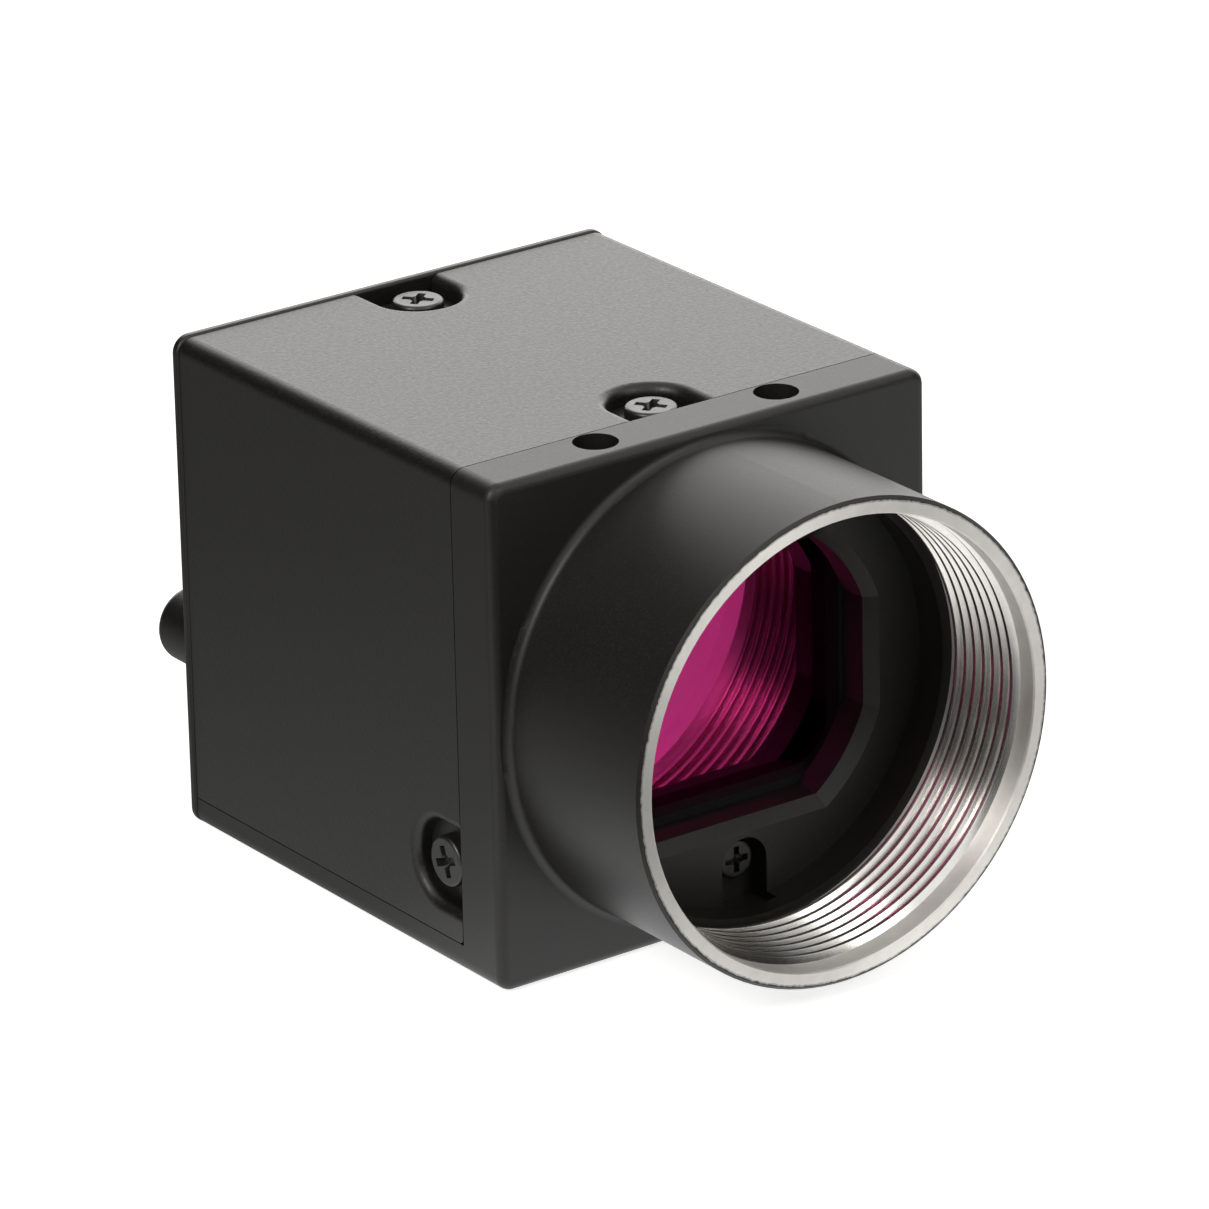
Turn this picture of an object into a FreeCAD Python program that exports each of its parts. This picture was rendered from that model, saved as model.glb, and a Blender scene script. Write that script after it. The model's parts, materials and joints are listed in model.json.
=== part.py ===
import FreeCAD, Part
import math
import os

import Sketcher

# Compact C-mount machine vision camera, in millimetres.
# Origin: centre of the lens flange (the front rim of the barrel), on the optical axis.
# The lens side faces -Y, +X is to the right as seen from the lens side, +Z is up.

doc = FreeCAD.newDocument("machine_vision_camera")
sheet = doc.addObject("Spreadsheet::Sheet", "dims")

DIMENSIONS = [
    # housing
    ("body_width", 29.0), ("body_height", 29.0), ("body_depth", 30.0),
    ("edge_round", 0.9), ("front_round", 0.55), ("seam_gap", 0.06), ("fit_gap", 0.05),
    ("block_depth", 3.5), ("bottom_thickness", 1.7), ("floor_raise", 1.6),
    ("cover_wall", 1.6), ("inner_round", 0.5), ("cover_corner_round", 0.3),
    ("tongue_length", 4.6), ("tongue_round", 0.6),
    # lens barrel
    ("barrel_length", 11.5), ("barrel_diameter", 27.34), ("root_round", 0.5),
    ("rim_chamfer", 0.15), ("mouth_chamfer", 0.08),
    ("thread_diameter", 25.4), ("thread_end", 7.1),
    ("throat_diameter", 24.2), ("floor_depth", 9.15),
    ("aperture_width", 17.4), ("aperture_height", 15.0), ("aperture_circle", 18.5),
    ("aperture_chamfer", 0.65), ("front_wall", 2.45),
    # sensor holder and filter
    ("holder_size", 22.2), ("holder_round", 1.4), ("holder_clearance", 0.1),
    ("lip_width", 16.9), ("lip_height", 14.1), ("lip_round", 2.4), ("lip_thickness", 1.2),
    ("glass_width", 18.2), ("glass_height", 15.4), ("glass_thickness", 1.0),
    ("seat_clearance", 0.1), ("gasket_width", 1.6),
    # image sensor
    ("image_plane", 17.526), ("package_width", 18.0), ("package_height", 15.2),
    ("package_front", 16.4), ("package_thickness", 2.3),
    ("window_width", 15.2), ("window_height", 12.4), ("window_thickness", 0.5),
    ("cavity_width", 13.6), ("cavity_height", 10.8),
    ("die_width", 12.4), ("die_height", 9.6), ("die_thickness", 0.47),
    # boards
    ("board_size", 21.6), ("board_thickness", 1.2), ("board_round", 1.0),
    ("board_pitch", 6.4), ("stud_x", 9.2), ("stud_z", 9.5), ("stud_length", 3.0),
    ("stud_diameter", 1.4), ("standoff_flats", 2.4), ("stack_head_diameter", 2.4),
    ("stack_head_height", 0.7), ("link_width", 3.0), ("link_height", 11.0),
    ("link_offset", 7.6), ("chip_thickness", 1.2), ("processor_size", 10.0),
    ("memory_width", 7.5), ("usb_chip_size", 7.0), ("chip_offset", 1.5),
    # fasteners
    ("head_diameter", 2.9), ("head_height", 0.8), ("head_round", 0.2), ("head_sink", 0.27),
    ("shank_diameter", 1.6), ("thread_play", 0.02), ("shank_length", 2.1),
    ("recess_span", 1.8), ("recess_width", 0.46), ("recess_depth", 0.4),
    ("recess_middle", 0.9), ("recess_point", 0.08),
    ("clearance_hole", 1.8), ("pocket_radius", 2.4), ("pocket_rim_round", 0.55),
    ("front_screw_setback", 1.9), ("rear_screw_setback", 2.2), ("side_screw_rise", 5.9),
    ("holder_screw_reach", 9.95), ("holder_head_diameter", 2.3), ("holder_head_height", 0.65),
    ("holder_shank_diameter", 1.4), ("holder_shank_length", 3.6),
    ("holder_pocket_radius", 1.5), ("holder_pocket_depth", 1.35),
    ("wall_notch_depth", 0.4), ("wall_notch_height", 0.9), ("holder_hole_play", 0.2),
    ("holder_recess_span", 1.5), ("holder_recess_width", 0.38), ("holder_recess_depth", 0.35),
    ("holder_recess_middle", 0.75),
    # mounting holes
    ("tap_diameter", 2.5), ("hole_chamfer", 0.12), ("top_hole_spacing", 12.0), ("top_hole_setback", 2.2),
    ("top_hole_depth", 3.4), ("bottom_hole_spacing_x", 20.0), ("bottom_hole_spacing_y", 16.0),
    ("bottom_hole_setback", 7.0), ("bottom_hole_depth", 2.8),
    # rear plate
    ("lip_proud", 0.1), ("lip_depth", 0.6), ("lip_edge_round", 0.2), ("plate_round", 1.0),
    ("plate_body_depth", 1.2),
    ("lug_width", 5.0), ("lug_height", 2.6), ("lug_depth", 2.8), ("lug_margin", 4.05),
    ("plate_screw_pocket", 3.4), ("plate_shank_length", 4.0),
    # usb receptacle
    ("usb_offset", 5.5), ("usb_length", 12.2), ("usb_width", 2.3), ("usb_wall", 0.25),
    ("usb_split", 2.2), ("usb_notch", 0.5), ("usb_play", 0.3), ("usb_recess", 0.2),
    ("usb_tongue", 0.6), ("usb_tongue_recess", 1.2), ("usb_contact", 0.1),
    ("usb_floor", 3.6),
    ("lock_spacing", 18.5), ("lock_tap", 1.6),
    # round receptacle
    ("gpio_offset", 10.1), ("gpio_drop", 5.4), ("gpio_diameter", 4.46), ("gpio_length", 6.5),
    ("gpio_round", 0.6), ("gpio_bore", 3.2), ("gpio_bore_depth", 5.2), ("gpio_neck", 4.6),
    ("gpio_flange", 5.4), ("gpio_flange_depth", 0.8), ("gpio_body", 5.0),
    ("gpio_stand", 0.8),
    ("gpio_nut_size", 6.0), ("gpio_nut_depth", 0.9), ("gpio_hole_play", 0.1),
    ("gpio_pin_diameter", 0.45), ("gpio_pin_circle", 1.9), ("gpio_pin_reach", 3.6),
    # status light
    ("light_x", -4.0), ("light_z", 9.6), ("light_diameter", 1.5), ("light_play", 0.05),
    ("led_size", 1.2), ("led_height", 0.6),
]
for row, (alias, number) in enumerate(DIMENSIONS, start=1):
    sheet.set(f"A{row}", alias)
    sheet.set(f"B{row}", str(number))
    sheet.setAlias(f"B{row}", alias)
doc.recompute()


class Size:
    """A length that keeps the sheet expression it was worked out from."""

    def __init__(self, value, text):
        self.value = value
        self.text = text

    def combine(self, other, sign, value):
        return Size(value, f"({self.text} {sign} {as_size(other).text})")

    def __add__(self, other):
        return self.combine(other, "+", self.value + as_size(other).value)

    def __sub__(self, other):
        return self.combine(other, "-", self.value - as_size(other).value)

    def __mul__(self, factor):
        return Size(self.value * factor, f"({self.text} * {factor})")

    def __truediv__(self, divisor):
        return Size(self.value / divisor, f"({self.text} / {divisor})")

    def __neg__(self):
        return self * -1


def as_size(number):
    return number if isinstance(number, Size) else Size(number, str(number))


def dim(alias):
    return Size(float(sheet.get(alias)), f"dims.{alias}")


ZERO = as_size(0.0)
PLANES = {"X": ("YZ_Plane", 1), "Y": ("XZ_Plane", -1), "Z": ("XY_Plane", 1)}


def new_body(label):
    body = doc.addObject("PartDesign::Body", label)
    body.Label = label
    return body


def sketch_on(body, axis, position, name):
    """A sketch across a global axis, at a position along it."""
    role, sign = PLANES[axis]
    sketch = body.newObject("Sketcher::SketchObject", name)
    plane = [item for item in body.Origin.OriginFeatures if item.Role == role][0]
    sketch.AttachmentSupport = [(plane, "")]
    sketch.MapMode = "FlatFace"
    sketch.setExpression("AttachmentOffset.Base.z", (as_size(position) * sign).text)
    return sketch


def place(sketch, geometry, point, spot):
    """Ties a point of a sketch to its two distances from the origin."""
    for kind, size in zip(("DistanceX", "DistanceY"), spot):
        index = sketch.addConstraint(
            Sketcher.Constraint(kind, -1, 1, geometry, point, size.value))
        sketch.setExpression(f"Constraints[{index}]", size.text)


def outline(sketch, corners):
    """A closed outline. Each corner is (across, up) or (across, up, centre),
    where centre makes the stretch to the next corner an arc about it."""
    spots = [(as_size(c[0]), as_size(c[1])) for c in corners]
    first = sketch.GeometryCount
    ends = [(1, 2)] * len(corners)
    for i, corner in enumerate(corners):
        here = FreeCAD.Vector(spots[i][0].value, spots[i][1].value, 0)
        following = spots[(i + 1) % len(spots)]
        there = FreeCAD.Vector(following[0].value, following[1].value, 0)
        if len(corner) == 2:
            index = sketch.addGeometry(Part.LineSegment(here, there), False)
            place(sketch, index, 1, spots[i])
            continue
        centre = (as_size(corner[2][0]), as_size(corner[2][1]))
        middle = FreeCAD.Vector(centre[0].value, centre[1].value, 0)
        radius = (here - middle).Length
        bend = (here - middle) + (there - middle)
        if bend.Length < 0.01 * radius:
            bend = (there - here).cross(FreeCAD.Vector(0, 0, 1))
        crown = middle + bend.normalize() * radius
        forward = (here - middle).cross(crown - middle).z > 0
        ends[i] = (1, 2) if forward else (2, 1)
        arc = Part.Arc(here, crown, there) if forward else Part.Arc(there, crown, here)
        index = sketch.addGeometry(arc, False)
        place(sketch, index, ends[i][0], spots[i])
        steep = abs(there.y - here.y) > abs(there.x - here.x)
        kind, size = ("DistanceX", centre[0]) if steep else ("DistanceY", centre[1])
        number = sketch.addConstraint(Sketcher.Constraint(kind, -1, 1, index, 3, size.value))
        sketch.setExpression(f"Constraints[{number}]", size.text)
    for i in range(len(corners)):
        j = (i + 1) % len(corners)
        sketch.addConstraint(
            Sketcher.Constraint("Coincident", first + i, ends[i][1], first + j, ends[j][0]))


def rectangle(sketch, left, right, low, high, radius=None):
    """An upright rectangle, with rounded corners where a radius is given."""
    if radius is None:
        outline(sketch, [(left, low), (right, low), (right, high), (left, high)])
        return
    r = radius
    outline(sketch, [
        (left + r, low), (right - r, low, (right - r, low + r)),
        (right, low + r), (right, high - r, (right - r, high - r)),
        (right - r, high), (left + r, high, (left + r, high - r)),
        (left, high - r), (left, low + r, (left + r, low + r)),
    ])


def circle(sketch, across, up, diameter):
    across, up = as_size(across), as_size(up)
    index = sketch.addGeometry(
        Part.Circle(FreeCAD.Vector(across.value, up.value, 0), FreeCAD.Vector(0, 0, 1),
                    diameter.value / 2), False)
    place(sketch, index, 3, (across, up))
    number = sketch.addConstraint(Sketcher.Constraint("Diameter", index, diameter.value))
    sketch.setExpression(f"Constraints[{number}]", diameter.text)


def hexagon(sketch, across, up, flats):
    """A hexagon with two flats level, by its size across the flats."""
    half, side = flats / 2, flats / (2 * math.sqrt(3))
    outline(sketch, [
        (across - side, up - half), (across + side, up - half), (across + side * 2, up),
        (across + side, up + half), (across - side, up + half), (across - side * 2, up)])


def cross(sketch, span, width):
    """The cross of a screw's recess, about the origin."""
    far, near = span / 2, width / 2
    outline(sketch, [
        (near, near), (far, near), (far, -near), (near, -near), (near, -far), (-near, -far),
        (-near, -near), (-far, -near), (-far, near), (-near, near), (-near, far), (near, far)])


def volume(body):
    return body.Shape.Volume if body.Shape and not body.Shape.isNull() else 0.0


def check_change(body, name, before, cut):
    change = volume(body) - before
    if (change >= 0) if cut else (change <= 0):
        raise RuntimeError(f"{body.Label}: {name} changed the volume the wrong way")


def extrude(body, cut, name, axis, start, end, *drawings):
    """Pads or cuts one sketch between two positions along a global axis."""
    start, end = as_size(start), as_size(end)
    before = volume(body)
    sketch = sketch_on(body, axis, start, f"{name}_sketch")
    for draw, *values in drawings:
        draw(sketch, *values)
    feature = body.newObject("PartDesign::Pocket" if cut else "PartDesign::Pad", name)
    feature.Profile = sketch
    onward = end.value > start.value
    length = end - start if onward else start - end
    feature.setExpression("Length", length.text)
    along_normal = onward == (PLANES[axis][1] > 0)
    feature.Reversed = along_normal if cut else not along_normal
    doc.recompute()
    check_change(body, name, before, cut)
    return feature


def pad(body, name, axis, start, end, *drawings):
    return extrude(body, False, name, axis, start, end, *drawings)


def pocket(body, name, axis, start, end, *drawings):
    return extrude(body, True, name, axis, start, end, *drawings)


def revolve(body, cut, name, corners, axis="H_Axis"):
    """Turns a profile of (along Y, up Z) corners about the Y axis, or about the
    Z axis when that is V_Axis."""
    before = volume(body)
    sketch = sketch_on(body, "X", ZERO, f"{name}_sketch")
    outline(sketch, corners)
    feature = body.newObject("PartDesign::Groove" if cut else "PartDesign::Revolution", name)
    feature.Profile = sketch
    feature.ReferenceAxis = (sketch, [axis])
    feature.Angle = 360.0
    doc.recompute()
    check_change(body, name, before, cut)
    return feature


def dress(body, kind, name, size, chosen):
    """Rounds or chamfers the edges of the body that a test picks out."""
    base = body.Tip
    edges = [f"Edge{i}" for i, edge in enumerate(base.Shape.Edges, 1) if chosen(edge.BoundBox)]
    if not edges:
        raise RuntimeError(f"{body.Label}: {name} finds no edge")
    feature = body.newObject(f"PartDesign::{kind}", name)
    feature.Base = (base, edges)
    feature.setExpression("Radius" if kind == "Fillet" else "Size", size.text)
    doc.recompute()
    return feature


def flat_in(low, high, at):
    return abs(low - at) < 0.001 and abs(high - at) < 0.001


# ---------------------------------------------------------------- shared positions

half_width = dim("body_width") / 2
half_height = dim("body_height") / 2
block_face = dim("barrel_length")
seam = block_face + dim("block_depth")
rear_face = block_face + dim("body_depth")
lip_front = rear_face - dim("lip_depth")
plate_front = lip_front - dim("plate_body_depth")
skirt_top = -half_height + dim("bottom_thickness")
floor_top = skirt_top + dim("floor_raise")
inside = half_width - dim("cover_wall")
ceiling = half_height - dim("cover_wall")
tongue_half = inside - dim("fit_gap")
tongue_top = ceiling - dim("fit_gap")
tongue_end = seam + dim("tongue_length")
floor_level = dim("floor_depth")
holder_front = floor_level + dim("front_wall")
holder_half = dim("holder_size") / 2
bay_half = holder_half + dim("holder_clearance")
sensor_board_front = dim("package_front") + dim("package_thickness")
head_seat = dim("head_sink") + dim("head_height")
front_screw = seam + dim("front_screw_setback")
rear_screw = lip_front - dim("rear_screw_setback")
side_screw = -half_height + dim("side_screw_rise")
cover_front = seam + dim("seam_gap")
cover_rear = lip_front - dim("seam_gap")
thread_hole = dim("shank_diameter")
holder_pocket_floor = floor_level + dim("holder_pocket_depth")
plate_screw = rear_screw
lug_side = tongue_half - dim("lug_margin")


# ---------------------------------------------------------------- chassis

def build_chassis():
    """Front block, lens barrel and bottom plate, machined from one piece."""
    body = new_body("chassis")
    pad(body, "front_block", "Y", block_face, seam,
        (rectangle, -half_width, half_width, -half_height, half_height, dim("edge_round")))
    dress(body, "Fillet", "front_edges", dim("front_round"), lambda box:
          flat_in(box.YMin, box.YMax, block_face.value))
    r = dim("edge_round")
    pad(body, "bottom_plate", "Y", seam, cover_rear, (outline, [
        (-half_width, skirt_top), (-half_width, -half_height + r,
                                   (-half_width + r, -half_height + r)),
        (-half_width + r, -half_height), (half_width - r, -half_height,
                                          (half_width - r, -half_height + r)),
        (half_width, -half_height + r), (half_width, skirt_top)]))
    pad(body, "raised_floor", "Y", seam, cover_rear,
        (rectangle, -tongue_half, tongue_half, skirt_top, floor_top))
    pad(body, "tongue", "Y", seam, tongue_end,
        (rectangle, -tongue_half, tongue_half, skirt_top, tongue_top, dim("tongue_round")))
    radius, fillet, chamfer = dim("barrel_diameter") / 2, dim("root_round"), dim("rim_chamfer")
    embed = block_face + dim("front_round")
    revolve(body, False, "barrel", [
        (ZERO, ZERO), (ZERO, radius - chamfer), (chamfer, radius),
        (block_face - fillet, radius, (block_face - fillet, radius + fillet)),
        (block_face, radius + fillet), (embed, radius + fillet), (embed, ZERO)])
    thread, mouth = dim("thread_diameter") / 2, dim("mouth_chamfer")
    revolve(body, True, "lens_bore", [
        (ZERO, ZERO), (ZERO, thread + mouth), (mouth, thread), (dim("thread_end"), thread),
        (dim("thread_end"), dim("throat_diameter") / 2),
        (floor_level, dim("throat_diameter") / 2), (floor_level, ZERO)])
    pocket(body, "holder_bay", "Y", tongue_end, holder_front,
           (rectangle, -bay_half, bay_half, -bay_half, bay_half, dim("holder_round")))
    half_w, half_h = dim("aperture_width") / 2, dim("aperture_height") / 2
    rim = dim("aperture_circle") / 2
    side_z = Size(math.sqrt(rim.value ** 2 - half_w.value ** 2),
                  f"sqrt({rim.text} ^ 2 - {half_w.text} ^ 2)")
    end_x = Size(math.sqrt(rim.value ** 2 - half_h.value ** 2),
                 f"sqrt({rim.text} ^ 2 - {half_h.text} ^ 2)")
    centre = (ZERO, ZERO)
    pocket(body, "aperture", "Y", floor_level, holder_front, (outline, [
        (half_w, -side_z), (half_w, side_z, centre), (end_x, half_h), (-end_x, half_h, centre),
        (-half_w, side_z), (-half_w, -side_z, centre), (-end_x, -half_h),
        (end_x, -half_h, centre)]))
    dress(body, "Chamfer", "aperture_edge", dim("aperture_chamfer"), lambda box:
          flat_in(box.YMin, box.YMax, floor_level.value)
          and max(abs(box.XMin), abs(box.XMax)) < half_w.value + 0.01
          and max(abs(box.ZMin), abs(box.ZMax)) < half_h.value + 0.01)
    slot, reach = dim("holder_pocket_radius"), dim("holder_screw_reach")
    throat_edge = dim("throat_diameter") / 2 + dim("wall_notch_depth")
    for name, side in (("bottom", -1), ("top", 1)):
        pocket(body, f"holder_pocket_{name}", "Y", floor_level - dim("wall_notch_height"),
               holder_pocket_floor, (outline, [
                   (slot * side, reach * side), (slot * side, throat_edge * side),
                   (-slot * side, throat_edge * side),
                   (-slot * side, reach * side, (ZERO, reach * side))]))
    shank = dim("holder_shank_diameter") + dim("holder_hole_play")
    pocket(body, "holder_screw_holes", "Y", holder_pocket_floor, holder_front,
           (circle, ZERO, reach, shank), (circle, ZERO, -reach, shank))
    top_y, top_x = block_face + dim("top_hole_setback"), dim("top_hole_spacing") / 2
    pocket(body, "top_mount_holes", "Z", half_height, half_height - dim("top_hole_depth"),
           (circle, -top_x, top_y, dim("tap_diameter")),
           (circle, top_x, top_y, dim("tap_diameter")))
    low_x = dim("bottom_hole_spacing_x") / 2
    low_y = block_face + dim("bottom_hole_setback")
    pocket(body, "bottom_mount_holes", "Z", -half_height,
           -half_height + dim("bottom_hole_depth"),
           *[(circle, x, y, dim("tap_diameter"))
             for x in (-low_x, low_x) for y in (low_y, low_y + dim("bottom_hole_spacing_y"))])
    tap = dim("tap_diameter").value
    dress(body, "Chamfer", "bottom_hole_edges", dim("hole_chamfer"), lambda box:
          flat_in(box.ZMin, box.ZMax, -half_height.value)
          and abs(box.XLength - tap) < 0.001 and abs(box.YLength - tap) < 0.001)
    pocket(body, "top_screw_hole", "Z", tongue_top, bay_half,
           (circle, ZERO, front_screw, thread_hole))
    pocket(body, "left_screw_hole", "X", -tongue_half, -bay_half,
           (circle, front_screw, side_screw, thread_hole))
    pocket(body, "right_screw_hole", "X", tongue_half, bay_half,
           (circle, front_screw, side_screw, thread_hole))
    pocket(body, "plate_screw_pockets", "Z", -half_height, -half_height + head_seat,
           (circle, -lug_side, plate_screw, dim("plate_screw_pocket")),
           (circle, lug_side, plate_screw, dim("plate_screw_pocket")))
    pocket(body, "plate_screw_holes", "Z", -half_height + head_seat, floor_top,
           (circle, -lug_side, plate_screw, dim("clearance_hole")),
           (circle, lug_side, plate_screw, dim("clearance_hole")))
    return body


# ---------------------------------------------------------------- cover

def build_cover():
    """Folded top and two sides that close the housing between block and rear plate."""
    body = new_body("cover")
    r, corner, skirt = dim("edge_round"), dim("inner_round"), skirt_top + dim("seam_gap")
    pad(body, "shell", "Y", cover_front, cover_rear, (outline, [
        (-half_width, skirt), (-half_width, half_height - r, (-half_width + r, half_height - r)),
        (-half_width + r, half_height),
        (half_width - r, half_height, (half_width - r, half_height - r)),
        (half_width, half_height - r), (half_width, skirt), (inside, skirt),
        (inside, ceiling - corner, (inside - corner, ceiling - corner)),
        (inside - corner, ceiling),
        (-inside + corner, ceiling, (-inside + corner, ceiling - corner)),
        (-inside, ceiling - corner), (-inside, skirt)]))
    dress(body, "Fillet", "skirt_corners", dim("cover_corner_round"), lambda box:
          flat_in(box.YMin, box.YMax, cover_front.value)
          and flat_in(box.ZMin, box.ZMax, skirt.value))
    pr, top = dim("pocket_radius"), half_height
    pocket(body, "front_pocket", "Z", top, top - head_seat, (outline, [
        (-pr, seam), (pr, seam), (pr, front_screw, (ZERO, front_screw)), (-pr, front_screw)]))
    pocket(body, "rear_pocket", "Z", top, top - head_seat, (outline, [
        (pr, lip_front), (-pr, lip_front), (-pr, rear_screw, (ZERO, rear_screw)),
        (pr, rear_screw)]))
    low, high = side_screw - pr, side_screw + pr
    for name, side in (("left", -1), ("right", 1)):
        pocket(body, f"{name}_pocket", "X", half_width * side, (half_width - head_seat) * side,
               (outline, [(seam, high), (seam, low),
                          (front_screw, low, (front_screw, side_screw)), (front_screw, high)]))
    dress(body, "Fillet", "top_pocket_rims", dim("pocket_rim_round"), lambda box:
          flat_in(box.ZMin, box.ZMax, top.value)
          and max(abs(box.XMin), abs(box.XMax)) < pr.value + 0.01)
    dress(body, "Fillet", "side_pocket_rims", dim("pocket_rim_round"), lambda box:
          flat_in(abs(box.XMin), abs(box.XMax), half_width.value)
          and box.ZMin > low.value - 0.01 and box.ZMax < high.value + 0.01)
    hole = dim("clearance_hole")
    pocket(body, "top_holes", "Z", top - head_seat, ceiling - dim("seam_gap"),
           (circle, ZERO, front_screw, hole), (circle, ZERO, rear_screw, hole))
    for name, side in (("left", -1), ("right", 1)):
        pocket(body, f"{name}_hole", "X", (half_width - head_seat) * side,
               (inside - dim("seam_gap")) * side, (circle, front_screw, side_screw, hole))
    return body


# ---------------------------------------------------------------- rear plate

def build_rear_plate():
    """Back wall with a thin lip that frames the cover, and three screw lugs."""
    body = new_body("rear_plate")
    proud = dim("lip_proud")
    pad(body, "lip", "Y", lip_front, rear_face,
        (rectangle, -half_width - proud, half_width + proud, -half_height,
         half_height + proud, dim("plate_round")))
    dress(body, "Fillet", "lip_edges", dim("lip_edge_round"), lambda box:
          flat_in(box.YMin, box.YMax, lip_front.value)
          or flat_in(box.YMin, box.YMax, rear_face.value))
    low = floor_top + dim("fit_gap")
    pad(body, "plate_body", "Y", plate_front, lip_front,
        (rectangle, -tongue_half, tongue_half, low, tongue_top, dim("tongue_round")))
    half_lug, lug_front = dim("lug_width") / 2, plate_front - dim("lug_depth")
    pad(body, "top_lug", "Y", plate_front, lug_front,
        (rectangle, -half_lug, half_lug, tongue_top - dim("lug_height"), tongue_top))
    pad(body, "low_lugs", "Y", plate_front, lug_front,
        *[(rectangle, lug_side * side - half_lug, lug_side * side + half_lug,
           low, low + dim("lug_height")) for side in (-1, 1)])
    pocket(body, "top_lug_hole", "Z", tongue_top, tongue_top - dim("lug_height"),
           (circle, ZERO, rear_screw, thread_hole))
    pocket(body, "low_lug_holes", "Z", low, low + dim("lug_height"),
           (circle, -lug_side, plate_screw, thread_hole),
           (circle, lug_side, plate_screw, thread_hole))
    play, usb_x = dim("usb_play"), dim("usb_offset")
    half_w, half_l = dim("usb_width") / 2 + play, dim("usb_length") / 2 + play
    pocket(body, "usb_opening", "Y", rear_face, plate_front,
           (rectangle, usb_x - half_w, usb_x + half_w, -half_l, half_l, dim("inner_round")))
    pocket(body, "lock_holes", "Y", rear_face, plate_front,
           (circle, usb_x, dim("lock_spacing") / 2, dim("lock_tap")),
           (circle, usb_x, -dim("lock_spacing") / 2, dim("lock_tap")))
    pocket(body, "round_holes", "Y", rear_face, plate_front,
           (circle, -dim("gpio_offset"), -dim("gpio_drop"),
            dim("gpio_neck") + dim("gpio_hole_play") * 2),
           (circle, dim("light_x"), dim("light_z"),
            dim("light_diameter") + dim("light_play") * 2))
    return body


# ---------------------------------------------------------------- screws

FACING = {
    "+Z": FreeCAD.Rotation(),
    "-Z": FreeCAD.Rotation(FreeCAD.Vector(1, 0, 0), 180),
    "-X": FreeCAD.Rotation(FreeCAD.Vector(0, 1, 0), -90),
    "+X": FreeCAD.Rotation(FreeCAD.Vector(0, 1, 0), 90),
    "-Y": FreeCAD.Rotation(FreeCAD.Vector(1, 0, 0), 90),
}


RECESS_TAPER = 10.0


def build_screw(label, head, shank, recess, facing, turn, seat):
    """A cross-recess screw. head, shank: diameter and length. recess: span, width
    and depth of the cross, and the width of its middle. seat: where the underside
    of its head rests."""
    body = new_body(label)
    pad(body, "head", "Z", ZERO, head[1], (circle, ZERO, ZERO, head[0]))
    pad(body, "shank", "Z", ZERO, -shank[1],
        (circle, ZERO, ZERO, shank[0] - dim("thread_play") * 2))
    dress(body, "Fillet", "head_edge", dim("head_round"), lambda box:
          flat_in(box.ZMin, box.ZMax, head[1].value))
    floor = head[1] - recess[2]
    wings = pocket(body, "recess", "Z", head[1], floor, (cross, recess[0], recess[1]))
    wings.TaperAngle = -RECESS_TAPER
    doc.recompute()
    revolve(body, True, "recess_middle", [
        (ZERO, head[1]), (recess[3] / 2, head[1]), (recess[3] / 4, floor - dim("recess_point")),
        (ZERO, floor - dim("recess_point"))], "V_Axis")
    spin = FreeCAD.Rotation(FreeCAD.Vector(0, 0, 1), turn)
    body.Placement = FreeCAD.Placement(FreeCAD.Vector(), FACING[facing] * spin)
    for letter, size in zip("xyz", seat):
        body.setExpression(f"Placement.Base.{letter}", as_size(size).text)
    return body


def build_screws():
    head = (dim("head_diameter"), dim("head_height"))
    shank = (dim("shank_diameter"), dim("shank_length"))
    recess = (dim("recess_span"), dim("recess_width"), dim("recess_depth"),
              dim("recess_middle"))
    top, side = half_height - head_seat, half_width - head_seat
    build_screw("cover_screw_top_front", head, shank, recess, "+Z", 35,
                (ZERO, front_screw, top))
    build_screw("cover_screw_top_rear", head, shank, recess, "+Z", 40,
                (ZERO, rear_screw, top))
    build_screw("cover_screw_left", head, shank, recess, "-X", 20,
                (-side, front_screw, side_screw))
    build_screw("cover_screw_right", head, shank, recess, "+X", 65,
                (side, front_screw, side_screw))
    long_shank = (dim("shank_diameter"), dim("plate_shank_length"))
    build_screw("plate_screw_left", head, long_shank, recess, "-Z", 15,
                (-lug_side, plate_screw, -top))
    build_screw("plate_screw_right", head, long_shank, recess, "-Z", 50,
                (lug_side, plate_screw, -top))
    head = (dim("holder_head_diameter"), dim("holder_head_height"))
    shank = (dim("holder_shank_diameter"), dim("holder_shank_length"))
    recess = (dim("holder_recess_span"), dim("holder_recess_width"),
              dim("holder_recess_depth"), dim("holder_recess_middle"))
    reach = dim("holder_screw_reach")
    build_screw("holder_screw_bottom", head, shank, recess, "-Y", 0,
                (ZERO, holder_pocket_floor, -reach))
    build_screw("holder_screw_top", head, shank, recess, "-Y", 30,
                (ZERO, holder_pocket_floor, reach))


# ---------------------------------------------------------------- sensor holder and filter

def studs():
    """The four corners where the stack of boards is fixed."""
    return [(dim("stud_x") * sx, dim("stud_z") * sz) for sx in (-1, 1) for sz in (-1, 1)]


def centred(width, height):
    return -width / 2, width / 2, -height / 2, height / 2


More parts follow.
